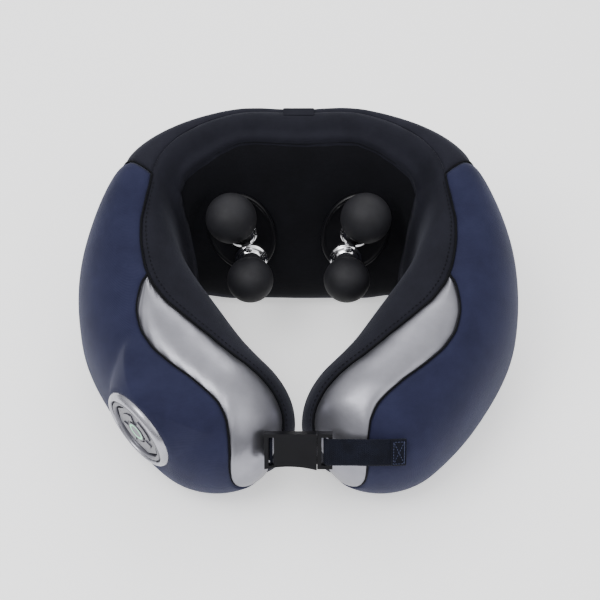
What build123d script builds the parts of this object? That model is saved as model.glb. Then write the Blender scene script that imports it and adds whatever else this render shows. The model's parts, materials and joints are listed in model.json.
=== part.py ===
"""Shiatsu neck massager: a U-shaped foam collar with two driven massage heads, a control pod and a strap.

Frame: millimetres, +Z up, X to the side, the massage heads face -Y, the strap buckle is at the -Y end.
The origin is on the resting plane, under the middle of the whole object.
"""

import os
from math import acos, atan2, cos, degrees, pi, radians, sin, sqrt, tan
from typing import NamedTuple

from build123d import *

os.makedirs("parts", exist_ok=True)

# ---------------------------------------------------------------- driving dimensions

COVER_THICKNESS = 1.8     # sewn cover panels
COVER_GAP = 0.8           # between a cover panel and the foam under it
SEAM_GAP = 1.2            # degrees of section angle left open at a seam
PART_GAP = 0.3            # between a hard part and the foam around it
BASE_THICKNESS = 1.5      # flat fabric panel that the collar lies on
BASE_HALF_WIDTH = 19.0
TIP_START = 0.84          # place along the collar where an arm begins to round off


class Station(NamedTuple):
    """One cross-section of the collar. place runs from 0 at the back to 1 at an arm's tip."""

    place: float
    x: float
    y: float
    heading: float        # degrees, from +Y towards +X: the way the outer side faces
    centre_low: float     # section centre, outwards from the spine, at the base and at the crown
    centre_high: float
    width_low: float      # half width at the base and at the crown
    width_high: float
    base: float           # height of the section's lowest and highest point
    crown: float
    power: float          # superellipse power: 2 is round, more is squarer


STATIONS = (
    Station(0.00, 0, 96, 0, -9, 17, 42, 17, -1, 146, 3.0),
    Station(0.14, 48, 96, 4, -9, 17, 42, 17, -1, 145, 3.0),
    Station(0.30, 100, 76, 48, 0, 10, 34, 22, -1, 134, 2.8),
    Station(0.44, 115, 34, 78, 0, 0, 37, 37, -3, 118, 2.6),
    Station(0.58, 106, -10, 98, -2, -3, 49, 45, -3, 108, 2.5),
    Station(0.72, 83, -51, 116, -2, -3, 50, 46, -3, 100, 2.4),
    Station(0.86, 54, -84, 128, -2, -2, 50, 46, -3, 94, 2.3),
    Station(1.00, 18, -112, 134, 0, 0, 48, 44, 1, 88, 2.2),
)

# the plane of the pocket wall: local x is X, local y runs up the wall, local z points out of the pocket
WALL_LEAN = 19.8
WALL = Plane(
    origin=(0, 70, 73),
    x_dir=(1, 0, 0),
    z_dir=(0, -cos(radians(WALL_LEAN)), sin(radians(WALL_LEAN))),
)

# massage heads
HEAD_SPACING = 41.0       # each head's axis from the middle
ORBIT_RADIUS = 22.5       # each ball's centre from its head's axis
BALL_TILT = 17.0          # at rest the line through a head's two balls leans outwards
UPPER_BALL_RADIUS = 18.0
UPPER_BALL_HEIGHT = 24.0
LOWER_BALL_RADIUS = 16.5
LOWER_BALL_HEIGHT = 36.0
CARRIER_HALF_LENGTH = 32.0
CARRIER_HALF_WIDTH = 24.0
CARRIER_BACK = 2.8
CARRIER_FRONT = 5.8
HUB_RADIUS = 11.0
HUB_HOLE_RADIUS = 14.0
SHAFT_RADIUS = 4.0
RUNNING_CLEARANCE = 0.05
POST_BASE_RADIUS = 10.0
POST_TOP_RADIUS = 6.0
SWEEP_RADIUS = 34.8       # room around each carrier

# gear train: head gear, idler, idler, head gear, and the motor's pinion on the left idler
MODULE = 1.0
HEAD_TEETH = 38
IDLER_TEETH = 22
PINION_TEETH = 15
PRESSURE_ANGLE = 20.0
ADDENDUM = 0.85
DEDENDUM = 1.25
BACKLASH = 0.24
GEAR_BACK = -12.0
GEAR_FRONT = -6.0
IDLER_X = HEAD_SPACING - MODULE * (HEAD_TEETH + IDLER_TEETH) / 2
IDLER_PIN_RADIUS = 2.5
MOTOR_SHAFT_RADIUS = 2.5

# gearbox case
CASE_LENGTH = 128.0
CASE_WIDTH = 48.0
CASE_LOBE_RADIUS = 17.0
CASE_WALL = 2.0
CASE_FRONT = -2.2
CASE_SPLIT = -5.0
CASE_BACK = -16.0
BUSH_RADIUS = 6.0

# motor, battery and board, behind the gearbox
GEARHEAD_RADIUS = 14.0
GEARHEAD_LENGTH = 10.0
MOTOR_RADIUS = 13.5
MOTOR_LENGTH = 24.0
CELL_RADIUS = 9.2
CELL_LENGTH = 65.0
TRAY_WALL = 1.5

# pocket wall panel
PANEL_HALF_WIDTH = 66.0
PANEL_BOTTOM = -46.0
PANEL_TOP = 47.0
PANEL_THICKNESS = 1.2

# control pod on the left arm
POD_AXIS = Vector(-0.73, -0.68, -0.07).normalized()
POD = Plane(origin=(-102.5, -94.0, 59.1), x_dir=(0.68, -0.73, 0), z_dir=POD_AXIS)
POD_RADIUS = 30.0
POD_CUP_RADIUS = 27.5
POD_DEPTH = 13.0
BEZEL_BACK = 3.0
BUTTON_TRAVEL_ROOM = 1.2

# buckle: local x is X, local y runs up the buckle's face, local z points out of it
BUCKLE_LEAN = 36.87
BUCKLE = Plane(
    origin=(0, -120.0, 67.0),
    x_dir=(1, 0, 0),
    z_dir=(0, -cos(radians(BUCKLE_LEAN)), sin(radians(BUCKLE_LEAN))),
)
BUCKLE_HALF_LENGTH = 22.3
BUCKLE_HALF_WIDTH = 12.0
BUCKLE_THICKNESS = 7.0
TONGUE_START = 12.3
PRONG_END = 3.5
PRONG_THICKNESS = 3.0
STRAP_WIDTH = 18.0
STRAP_THICKNESS = 1.6

LEFT, RIGHT = -1, 1
SIDES = {LEFT: "left", RIGHT: "right"}


# ---------------------------------------------------------------- helpers


def save(builder, name):
    """Label a finished sub-part and write it."""
    builder.part.label = name
    export_step(builder.part, f"parts/{name}.step")


def station_value(place, field):
    """A station's field at any place along one arm, on a smooth curve through the stations."""
    odd = field in ("x", "heading")
    places = [s.place for s in STATIONS]
    values = [getattr(s, field) for s in STATIONS]
    places.insert(0, -places[1])
    values.insert(0, -values[1] if odd else values[1])

    def slope(i):
        if i == len(places) - 1:
            return (values[i] - values[i - 1]) / (places[i] - places[i - 1])
        before = places[i] - places[i - 1]
        after = places[i + 1] - places[i]
        rise_before = (values[i] - values[i - 1]) / before
        rise_after = (values[i + 1] - values[i]) / after
        return (rise_before * after + rise_after * before) / (before + after)

    i = 1
    while i < len(places) - 2 and place > places[i + 1]:
        i += 1
    span = places[i + 1] - places[i]
    u = (place - places[i]) / span
    start, end = values[i], values[i + 1]
    return (
        (2 * u**3 - 3 * u**2 + 1) * start
        + (u**3 - 2 * u**2 + u) * span * slope(i)
        + (-2 * u**3 + 3 * u**2) * end
        + (u**3 - u**2) * span * slope(i + 1)
    )


def section_plane(place):
    """The upright plane of one cross-section; its local x points outwards and its local y up."""
    side = -1 if place < 0 else 1
    heading = radians(station_value(abs(place), "heading"))
    outwards = Vector(side * sin(heading), cos(heading), 0)
    origin = (side * station_value(abs(place), "x"), station_value(abs(place), "y"), 0)
    return Plane(origin=origin, x_dir=outwards, z_dir=(outwards.Y, -outwards.X, 0))


def section_point(place, angle, inset=0.0):
    """A point of the section outline. Angle 0 faces outwards, 90 is the crown, 180 faces inwards."""
    at = {name: station_value(abs(place), name) for name in Station._fields[4:]}
    tip = max(0.0, (abs(place) - TIP_START) / (1 - TIP_START))
    shrink = sqrt(max(0.0, 1 - tip**2.2)) ** 0.9
    exponent = 2 / at["power"]
    c, s = cos(radians(angle)), sin(radians(angle))
    across = (1 if c >= 0 else -1) * abs(c) ** exponent * shrink
    up = (1 if s >= 0 else -1) * abs(s) ** exponent * shrink
    height = (up + 1) / 2
    centre = at["centre_low"] + (at["centre_high"] - at["centre_low"]) * height
    width = at["width_low"] + (at["width_high"] - at["width_low"]) * height
    middle = (at["base"] + at["crown"]) / 2
    z = at["base"] + height * (at["crown"] - at["base"])
    return (centre + (width - inset) * across, z + (inset if z < middle else -inset) * abs(up))


def places_between(start, end, steps):
    """Evenly spaced places along the collar."""
    return [start + (end - start) * i / steps for i in range(steps + 1)]


def ring(place, inset):
    """One whole section, as a sketch for a loft."""
    with BuildSketch(section_plane(place)) as outline:
        with BuildLine():
            Polyline(*[section_point(place, 15 * i, inset) for i in range(24)], close=True)
        make_face()
    return outline.sketch


def strip(place, angle_from, angle_to):
    """A cover panel's section: a strip of the outline, one cover thickness deep."""
    angles = [angle_from + (angle_to - angle_from) * i / 10 for i in range(11)]
    outer = [section_point(place, angle) for angle in angles]
    inner = [section_point(place, angle, COVER_THICKNESS) for angle in angles]
    with BuildSketch(section_plane(place)) as outline:
        with BuildLine():
            Polyline(*outer, *reversed(inner), close=True)
        make_face()
    return outline.sketch


def gear_outline(teeth, first_tooth):
    """Corner points of a spur gear with involute flanks. first_tooth is one tooth's angle in degrees."""
    pitch = MODULE * teeth / 2
    base = pitch * cos(radians(PRESSURE_ANGLE))
    tip = pitch + ADDENDUM * MODULE
    root = pitch - DEDENDUM * MODULE
    flank_start = max(root + 0.15, base)

    def half_angle(radius):
        pressure = acos(min(1.0, base / radius))
        involute = tan(pressure) - pressure
        at_pitch = tan(radians(PRESSURE_ANGLE)) - radians(PRESSURE_ANGLE)
        thickness = pi * MODULE / 2 - BACKLASH
        return thickness / 2 / pitch + at_pitch - involute

    radii = [flank_start + (tip - flank_start) * i / 3 for i in range(4)]
    flank = [(root, half_angle(flank_start))] + [(radius, half_angle(radius)) for radius in radii]
    points = []
    for tooth in range(teeth):
        centre = radians(first_tooth) + 2 * pi * tooth / teeth
        rising = [(radius, centre - half) for radius, half in flank]
        falling = [(radius, centre + half) for radius, half in reversed(flank)]
        points += [(radius * cos(angle), radius * sin(angle)) for radius, angle in rising + falling]
    return points


def wall_plane(height):
    """The pocket wall's plane, moved out of the pocket by height."""
    return WALL.offset(height)


def axle_plane(centre, height):
    """A plane across an axle that stands on the pocket wall at centre."""
    origin = WALL.from_local_coords(Vector(*centre, height))
    return Plane(origin=origin, x_dir=WALL.x_dir, z_dir=WALL.z_dir)


def gear_sketch(centre, teeth, first_tooth, bore_radius):
    """A gear's face at the back of the gear train, as a sketch."""
    with BuildSketch(axle_plane(centre, GEAR_BACK)) as outline:
        with BuildLine():
            Polyline(*gear_outline(teeth, first_tooth), close=True)
        make_face()
        Circle(bore_radius, mode=Mode.SUBTRACT)
    return outline.sketch


def case_outline():
    """The gearbox outline, as a sketch: a long slot with a lobe for the motor."""
    SlotOverall(CASE_LENGTH, CASE_WIDTH)
    with Locations(PINION_CENTRE):
        Circle(CASE_LOBE_RADIUS)


# gear phases: a tooth of one gear meets a gap of the next
HEAD_PITCH = 360 / HEAD_TEETH
IDLER_PITCH = 360 / IDLER_TEETH
LEFT_IDLER_TOOTH = 180 + IDLER_PITCH / 2
RIGHT_IDLER_TOOTH = 180
RIGHT_HEAD_TOOTH = 180 + HEAD_PITCH / 2
PINION_ANGLE = LEFT_IDLER_TOOTH - 5 * IDLER_PITCH
PINION_DISTANCE = MODULE * (IDLER_TEETH + PINION_TEETH) / 2
PINION_CENTRE = (
    -IDLER_X + PINION_DISTANCE * cos(radians(PINION_ANGLE)),
    PINION_DISTANCE * sin(radians(PINION_ANGLE)),
)
PINION_TOOTH = PINION_ANGLE + 180 + 180 / PINION_TEETH


# ---------------------------------------------------------------- soft parts

# seams, as (place, section angle): the black lining's edge and the navy cover's edge on the silver panel
LINING_EDGE = (
    (0.30, 110), (0.42, 97), (0.54, 92), (0.63, 95), (0.74, 110), (0.86, 121), (0.98, 136),
)
SILVER_EDGE = (
    (0.56, 92), (0.60, 86), (0.64, 75), (0.70, 69), (0.78, 75), (0.87, 81), (0.92, 80), (0.98, 50),
)
BASE_EDGE_OUTER = -60
BASE_EDGE_INNER = 238
ARM_START = 0.30
ARM_END = 0.985


def along(edge, place):
    """A seam's section angle at a place."""
    for (start, low), (end, high) in zip(edge, edge[1:]):
        if place <= end:
            return low + (high - low) * (max(place, start) - start) / (end - start)
    return edge[-1][1]


def back_sections():
    return places_between(-ARM_START, ARM_START, 8)


def arm_sections(start=ARM_START):
    """Places for an arm's loft: even along the arm, closer together where the tip rounds off."""
    every = places_between(ARM_START, 0.86, 8) + [0.91, 0.95, ARM_END]
    return [place for place in every if place >= start]


FOAM_INSET = COVER_THICKNESS + COVER_GAP
SCOOP_DEPTH = 9.0

with BuildPart() as back_foam:
    loft([ring(place, FOAM_INSET) for place in back_sections()], ruled=True)
    split(bisect_by=Plane.XY.offset(BASE_THICKNESS), keep=Keep.TOP)
    # the room for the wall panel, the gearbox and what is behind it
    with BuildSketch(wall_plane(-PANEL_THICKNESS - PART_GAP)):
        with Locations((0, (PANEL_TOP + PANEL_BOTTOM) / 2)):
            Rectangle(2 * PANEL_HALF_WIDTH + 0.6, PANEL_TOP - PANEL_BOTTOM + 0.6)
    extrude(amount=2 * SCOOP_DEPTH, mode=Mode.SUBTRACT)
    with BuildSketch(wall_plane(-PANEL_THICKNESS)):
        with Locations((0, 5)):
            Rectangle(CASE_LENGTH + 1, 60)
    extrude(amount=CASE_BACK + PANEL_THICKNESS - 1, mode=Mode.SUBTRACT)
    with BuildSketch(wall_plane(CASE_BACK - 0.5)):
        with Locations((4, 5)):
            Rectangle(140, 60)
    extrude(amount=-36, mode=Mode.SUBTRACT)
    with BuildSketch(wall_plane(-PANEL_THICKNESS - PART_GAP)):
        with Locations((-HEAD_SPACING, 0), (HEAD_SPACING, 0)):
            Circle(SWEEP_RADIUS)
    extrude(amount=SCOOP_DEPTH + PANEL_THICKNESS, mode=Mode.SUBTRACT)
    # the charge socket's seat in the rear
    with BuildSketch(Plane(origin=(0, 130, 32), x_dir=(-1, 0, 0), z_dir=(0, 1, 0))):
        RectangleRounded(16.6, 9.6, 2)
    extrude(amount=-24, mode=Mode.SUBTRACT)
save(back_foam, "back_foam")


def make_arm_foam(side):
    """The foam core of one arm, flat underneath, with a hole for the pod on the left."""
    with BuildPart() as foam:
        loft([ring(side * place, FOAM_INSET) for place in arm_sections()], ruled=True)
        split(bisect_by=Plane.XY.offset(BASE_THICKNESS), keep=Keep.TOP)
        with BuildSketch(wall_plane(-PANEL_THICKNESS)):
            with Locations((side * HEAD_SPACING, 0)):
                Circle(SWEEP_RADIUS)
        extrude(amount=SCOOP_DEPTH + PANEL_THICKNESS, mode=Mode.SUBTRACT)
        if side == LEFT:
            with BuildSketch(POD.offset(20)):
                Circle(POD_CUP_RADIUS + PART_GAP)
            extrude(amount=-20 - POD_DEPTH - COVER_GAP, mode=Mode.SUBTRACT)
            with BuildSketch(POD.offset(20)):
                Circle(POD_RADIUS + PART_GAP)
            extrude(amount=BEZEL_BACK - PART_GAP - 20, mode=Mode.SUBTRACT)
    return foam


def make_strip_panel(side, places, lower, upper):
    """A cover panel along one arm, between two section angles given as functions of place."""
    with BuildPart() as panel:
        loft([strip(side * place, lower(place), upper(place)) for place in places], ruled=True)
        with BuildSketch(wall_plane(-PANEL_THICKNESS)):
            with Locations((side * HEAD_SPACING, 0)):
                Circle(SWEEP_RADIUS)
        extrude(amount=SCOOP_DEPTH + PANEL_THICKNESS, mode=Mode.SUBTRACT)
        if side == LEFT:
            with BuildSketch(POD.offset(20)):
                Circle(POD_CUP_RADIUS + PART_GAP)
            extrude(amount=-20 - POD_DEPTH, mode=Mode.SUBTRACT)
            with BuildSketch(POD.offset(20)):
                Circle(POD_RADIUS + PART_GAP)
            extrude(amount=BEZEL_BACK - PART_GAP - 20, mode=Mode.SUBTRACT)
    return panel


def navy_edge(place):
    """The upper edge of the navy cover: the lining up to the silver panel's point, then the panel."""
    edge = LINING_EDGE if place < SILVER_EDGE[0][0] else SILVER_EDGE
    return along(edge, place) - SEAM_GAP


for side, name in SIDES.items():
    save(make_arm_foam(side), f"{name}_arm_foam")
    save(
        make_strip_panel(side, arm_sections(), lambda place: BASE_EDGE_OUTER, navy_edge),
        f"{name}_outer_cover",
    )
    save(
        make_strip_panel(
            side,
            arm_sections(0.64),
            lambda place: along(SILVER_EDGE, place) + SEAM_GAP,
            lambda place: along(LINING_EDGE, place) - SEAM_GAP,
        ),
        f"{name}_silver_panel",
    )
    save(
        make_strip_panel(
            side,
            arm_sections(),
            lambda place: along(LINING_EDGE, place) + SEAM_GAP,
            lambda place: BASE_EDGE_INNER,
        ),
        f"{name}_arm_lining",
    )

RIM_BACK_ANGLE = 84
RIM_FRONT_ANGLE = 128
with BuildPart() as rear_cover:
    loft([strip(place, BASE_EDGE_OUTER, RIM_BACK_ANGLE - SEAM_GAP) for place in back_sections()], ruled=True)
    with BuildSketch(Plane(origin=(0, 130, 32), x_dir=(-1, 0, 0), z_dir=(0, 1, 0))):
        RectangleRounded(16.6, 9.6, 2)
    extrude(amount=-24, mode=Mode.SUBTRACT)
save(rear_cover, "rear_cover")

with BuildPart() as rim_band:
    loft([strip(place, RIM_BACK_ANGLE + SEAM_GAP, RIM_FRONT_ANGLE) for place in back_sections()], ruled=True)
save(rim_band, "rim_band")

with BuildPart() as pocket_lining:
    with BuildSketch(wall_plane(-PANEL_THICKNESS)):
        with Locations((0, (PANEL_TOP + PANEL_BOTTOM) / 2)):
            RectangleRounded(2 * PANEL_HALF_WIDTH, PANEL_TOP - PANEL_BOTTOM, 12)
        with Locations((-HEAD_SPACING, 0), (HEAD_SPACING, 0)):
            Circle(HUB_HOLE_RADIUS, mode=Mode.SUBTRACT)
    extrude(amount=PANEL_THICKNESS)
save(pocket_lining, "pocket_lining")

BASE_PLACES = places_between(-0.88, 0.88, 16)


def base_edge_point(place, offset):
    """A point on the ground, at an outward offset from the spine."""
    plane = section_plane(place)
    return plane.from_local_coords(Vector(offset, 0, 0))


with BuildPart() as base_panel:
    outer_edge = [base_edge_point(place, BASE_HALF_WIDTH - 1) for place in BASE_PLACES]
    inner_edge = [base_edge_point(place, -BASE_HALF_WIDTH - 3) for place in BASE_PLACES]
    with BuildSketch():
        with BuildLine():
            Spline(*outer_edge)
            Line(outer_edge[-1], inner_edge[-1])
            Spline(*reversed(inner_edge))
            Line(inner_edge[0], outer_edge[0])
        make_face()
    extrude(amount=BASE_THICKNESS)
save(base_panel, "base_panel")

with BuildPart() as top_label:
    with BuildSketch(Plane(origin=(0, 115.5, 146.2), x_dir=(1, 0, 0), z_dir=(0, 0, 1))):
        RectangleRounded(22, 7, 1)
    extrude(amount=0.8)
save(top_label, "top_label")


# ---------------------------------------------------------------- massage heads


def ball_centre(side, upper):
    """A ball's place on the pocket wall's plane, with the line through the two balls leaning outwards."""
    reach = ORBIT_RADIUS if upper else -ORBIT_RADIUS
    tilt = radians(BALL_TILT)
    return (side * (HEAD_SPACING + reach * sin(tilt)), reach * cos(tilt))


def carrier_angle(side):
    return 90 - side * BALL_TILT


for side, name in SIDES.items():
    axis = (side * HEAD_SPACING, 0)
    first_tooth = 0 if side == LEFT else RIGHT_HEAD_TOOTH

    with BuildPart() as head_gear:
        extrude(
            gear_sketch(axis, HEAD_TEETH, first_tooth, SHAFT_RADIUS), amount=GEAR_FRONT - GEAR_BACK
        )
        with BuildSketch(axle_plane(axis, GEAR_BACK)):
            with PolarLocations(11.5, 6):
                Circle(3)
        extrude(amount=GEAR_FRONT - GEAR_BACK, mode=Mode.SUBTRACT)
    save(head_gear, f"{name}_head_gear")

    with BuildPart() as output_shaft:
        with BuildSketch(wall_plane(CASE_BACK + 0.6)):
            with Locations(axis):
                Circle(SHAFT_RADIUS)
        extrude(amount=CARRIER_FRONT - CASE_BACK - 0.6)
    save(output_shaft, f"{name}_output_shaft")

    with BuildPart() as head_carrier:
        with BuildSketch(wall_plane(CARRIER_BACK)):
            with Locations(Location(axis, carrier_angle(side))):
                Ellipse(CARRIER_HALF_LENGTH, CARRIER_HALF_WIDTH)
        extrude(amount=CARRIER_FRONT - CARRIER_BACK)
        fillet(head_carrier.edges().group_by(lambda edge: WALL.to_local_coords(edge.center()).Z)[-1], 1.2)
        with BuildSketch(wall_plane(CASE_FRONT + 0.4)):
            with Locations(axis):
                Circle(HUB_RADIUS)
        extrude(amount=CARRIER_BACK - CASE_FRONT - 0.4)
        with BuildSketch(wall_plane(CASE_FRONT)):
            with Locations(axis):
                Circle(SHAFT_RADIUS)
        extrude(amount=20, mode=Mode.SUBTRACT)
    save(head_carrier, f"{name}_head_carrier")

    with BuildPart() as hub_cap:
        with BuildSketch(wall_plane(CARRIER_FRONT)):
            with Locations(axis):
                Circle(8.5)
        extrude(amount=4.5, taper=18)
        fillet(hub_cap.edges().group_by(lambda edge: WALL.to_local_coords(edge.center()).Z)[-1], 1.8)
    save(hub_cap, f"{name}_hub_cap")

    with BuildPart() as ball_posts:
        for upper, height in ((True, UPPER_BALL_HEIGHT), (False, LOWER_BALL_HEIGHT)):
            with BuildSketch(wall_plane(CARRIER_FRONT)):
                with Locations(ball_centre(side, upper)):
                    Circle(POST_TOP_RADIUS)
            extrude(amount=height + 3 - CARRIER_FRONT)
        with BuildSketch(wall_plane(CARRIER_FRONT)):
            with Locations(ball_centre(side, False)):
                Circle(POST_BASE_RADIUS)
        extrude(amount=11, taper=10)
    save(ball_posts, f"{name}_ball_posts")

    with BuildPart() as post_collar:
        with BuildSketch(wall_plane(CARRIER_FRONT + 11)):
            with Locations(ball_centre(side, False)):
                Circle(POST_BASE_RADIUS - 0.6)
                Circle(POST_TOP_RADIUS, mode=Mode.SUBTRACT)
        extrude(amount=3)
    save(post_collar, f"{name}_post_collar")

    for upper, radius, height, ball_name in (
        (True, UPPER_BALL_RADIUS, UPPER_BALL_HEIGHT, "upper"),
        (False, LOWER_BALL_RADIUS, LOWER_BALL_HEIGHT, "lower"),
    ):
        centre = WALL.from_local_coords(Vector(*ball_centre(side, upper), height))
        with BuildPart() as ball:
            with Locations(centre):
                Sphere(radius)
            with BuildSketch(wall_plane(CARRIER_FRONT + 0.4)):
                with Locations(ball_centre(side, upper)):
                    Circle(2 * radius)
            extrude(amount=-2 * radius, mode=Mode.SUBTRACT)
            with BuildSketch(wall_plane(0)):
                with Locations(ball_centre(side, upper)):
                    Circle(POST_TOP_RADIUS)
            extrude(amount=height + 3, mode=Mode.SUBTRACT)
        save(ball, f"{name}_{ball_name}_ball")


# ---------------------------------------------------------------- gear train and gearbox

for name, x, tooth in (
    ("left_idler_gear", -IDLER_X, LEFT_IDLER_TOOTH),
    ("right_idler_gear", IDLER_X, RIGHT_IDLER_TOOTH),
):
    with BuildPart() as idler:
        bore = IDLER_PIN_RADIUS + RUNNING_CLEARANCE
        extrude(gear_sketch((x, 0), IDLER_TEETH, tooth, bore), amount=GEAR_FRONT - GEAR_BACK)
    save(idler, name)

with BuildPart() as drive_pinion:
    extrude(
        gear_sketch(PINION_CENTRE, PINION_TEETH, PINION_TOOTH, MOTOR_SHAFT_RADIUS),
        amount=GEAR_FRONT - GEAR_BACK,
    )
save(drive_pinion, "drive_pinion")

with BuildPart() as motor_shaft:
    with BuildSketch(wall_plane(CASE_BACK - GEARHEAD_LENGTH + 1)):
        with Locations(PINION_CENTRE):
            Circle(MOTOR_SHAFT_RADIUS)
    extrude(amount=GEAR_FRONT - CASE_BACK + GEARHEAD_LENGTH - 0.6)
save(motor_shaft, "motor_shaft")

HEAD_AXES = [(-HEAD_SPACING, 0), (HEAD_SPACING, 0)]
CASE_SCREWS = ((-20, -19.6), (20, -19.6), (20, 19.6))
SCREW_BOSS_RADIUS = 2.2

with BuildPart() as gearbox_rear:
    with BuildSketch(wall_plane(CASE_BACK)):
        case_outline()
    extrude(amount=CASE_SPLIT - CASE_BACK)
    with BuildSketch(wall_plane(CASE_BACK + CASE_WALL)):
        case_outline()
        offset(amount=-CASE_WALL)
    extrude(amount=CASE_SPLIT - CASE_BACK, mode=Mode.SUBTRACT)
    with BuildSketch(wall_plane(CASE_BACK)):
        with Locations(*CASE_SCREWS):
            Circle(SCREW_BOSS_RADIUS)
    extrude(amount=CASE_SPLIT - CASE_BACK)
    with BuildSketch(wall_plane(CASE_BACK)):
        with Locations(*HEAD_AXES):
            Circle(BUSH_RADIUS)
        with Locations(PINION_CENTRE):
            Circle(MOTOR_SHAFT_RADIUS + 2)
    extrude(amount=CASE_WALL, mode=Mode.SUBTRACT)
    # the idlers' pins are moulded on the floor
    with BuildSketch(wall_plane(CASE_BACK + CASE_WALL)):
        with Locations((-IDLER_X, 0), (IDLER_X, 0)):
            Circle(IDLER_PIN_RADIUS)
    extrude(amount=CASE_SPLIT - CASE_BACK - CASE_WALL)
save(gearbox_rear, "gearbox_rear")

with BuildPart() as gearbox_front:
    with BuildSketch(wall_plane(CASE_SPLIT)):
        case_outline()
        with Locations(*HEAD_AXES):
            Circle(BUSH_RADIUS, mode=Mode.SUBTRACT)
    extrude(amount=CASE_FRONT - CASE_SPLIT)
    fillet(gearbox_front.edges().group_by(lambda edge: WALL.to_local_coords(edge.center()).Z)[-1]
           .filter_by(lambda edge: edge.length > 45), 0.8)
save(gearbox_front, "gearbox_front")

with BuildPart() as shaft_bushes:
    for back, front in ((CASE_BACK, CASE_BACK + CASE_WALL), (CASE_SPLIT, CASE_FRONT)):
        with BuildSketch(wall_plane(back)):
            with Locations(*HEAD_AXES):
                Circle(BUSH_RADIUS)
                Circle(SHAFT_RADIUS + RUNNING_CLEARANCE, mode=Mode.SUBTRACT)
        extrude(amount=front - back)
save(shaft_bushes, "shaft_bushes")

with BuildPart() as gearhead:
    with BuildSketch(wall_plane(CASE_BACK)):
        with Locations(PINION_CENTRE):
            Circle(GEARHEAD_RADIUS)
    extrude(amount=-GEARHEAD_LENGTH)
    with BuildSketch(wall_plane(CASE_BACK)):
        with Locations(PINION_CENTRE):
            Circle(MOTOR_SHAFT_RADIUS + RUNNING_CLEARANCE)
    extrude(amount=-GEARHEAD_LENGTH + 0.8, mode=Mode.SUBTRACT)
save(gearhead, "gearhead")

with BuildPart() as motor:
    with BuildSketch(wall_plane(CASE_BACK - GEARHEAD_LENGTH)):
        with Locations(PINION_CENTRE):
            Circle(MOTOR_RADIUS)
    extrude(amount=-MOTOR_LENGTH)
    with BuildSketch(wall_plane(CASE_BACK - GEARHEAD_LENGTH - MOTOR_LENGTH)):
        with Locations(PINION_CENTRE):
            Circle(5)
    extrude(amount=-1.2)
save(motor, "motor")

TRAY_CENTRE = (39.0, 0.0)
TRAY_FRONT = CASE_BACK - 0.8
TRAY_DEPTH = 2 * CELL_RADIUS + 1.2
with BuildPart() as battery_tray:
    with BuildSketch(wall_plane(TRAY_FRONT)):
        with Locations(TRAY_CENTRE):
            Rectangle(CELL_LENGTH + 2 * TRAY_WALL + 1, 4 * CELL_RADIUS + 2 * TRAY_WALL + 1)
    extrude(amount=-TRAY_DEPTH - TRAY_WALL)
    with BuildSketch(wall_plane(TRAY_FRONT - TRAY_WALL)):
        with Locations(TRAY_CENTRE):
            Rectangle(CELL_LENGTH + 1, 4 * CELL_RADIUS + 1)
    extrude(amount=-TRAY_DEPTH - TRAY_WALL, mode=Mode.SUBTRACT)
save(battery_tray, "battery_tray")

with BuildPart() as battery_cells:
    cell_depth = TRAY_FRONT - TRAY_WALL - CELL_RADIUS - 0.3
    for row in (-1, 1):
        start = WALL.from_local_coords(
            Vector(TRAY_CENTRE[0] - CELL_LENGTH / 2, row * (CELL_RADIUS + 0.15), cell_depth)
        )
        with BuildSketch(Plane(origin=start, x_dir=(0, 1, 0), z_dir=(1, 0, 0))):
            Circle(CELL_RADIUS)
        extrude(amount=CELL_LENGTH)
save(battery_cells, "battery_cells")

BOARD_CENTRE = (-48.0, 0.0)
with BuildPart() as control_board:
    with BuildSketch(wall_plane(CASE_BACK - 5)):
        with Locations(BOARD_CENTRE):
            Rectangle(34, 40)
            with GridLocations(28, 34, 2, 2):
                Circle(1.6, mode=Mode.SUBTRACT)
    extrude(amount=-1.6)
    with BuildSketch(wall_plane(CASE_BACK - 6.6)):
        with Locations((BOARD_CENTRE[0] - 4, 6)):
            Rectangle(9, 9)
        with Locations((BOARD_CENTRE[0] + 6, -9)):
            Rectangle(10, 6)
        with Locations((BOARD_CENTRE[0] - 8, -10)):
            Circle(3.2)
    extrude(amount=-3)
save(control_board, "control_board")

with BuildPart() as heating_film:
    with BuildSketch(wall_plane(CASE_FRONT + 0.3)):
        Rectangle(118, 56)
        with Locations(*HEAD_AXES):
            Circle(HUB_HOLE_RADIUS + 1, mode=Mode.SUBTRACT)
        Rectangle(14, 30, mode=Mode.SUBTRACT)
    extrude(amount=0.4)
save(heating_film, "heating_film")

with BuildPart() as charge_socket:
    with BuildSketch(Plane(origin=(0, 126.6, 32), x_dir=(-1, 0, 0), z_dir=(0, 1, 0))):
        RectangleRounded(16, 9, 2)
    extrude(amount=-16)
    with BuildSketch(Plane(origin=(0, 126.6, 32), x_dir=(-1, 0, 0), z_dir=(0, 1, 0))):
        RectangleRounded(9, 3.3, 1.6)
        RectangleRounded(6.4, 0.8, 0.3, mode=Mode.SUBTRACT)
    extrude(amount=-7, mode=Mode.SUBTRACT)
save(charge_socket, "charge_socket")


# ---------------------------------------------------------------- control pod

RING_INNER = 23.5
INNER_RING_INNER = 20.6
FACE_RADIUS = 20.2
FACE_TOP = 6.6
POWER_RADIUS = 7.5
BUTTON_INNER = 9.0
BUTTON_OUTER = 14.5
BUTTON_HALF_ANGLE = 32
BUTTON_CLEARANCE = 0.3
BUTTON_TOP = 7.4
POWER_TOP = 7.8
POD_BUTTONS = (("mode_button", 45), ("heat_button", 135), ("speed_button", 225), ("direction_button", 315))


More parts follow.
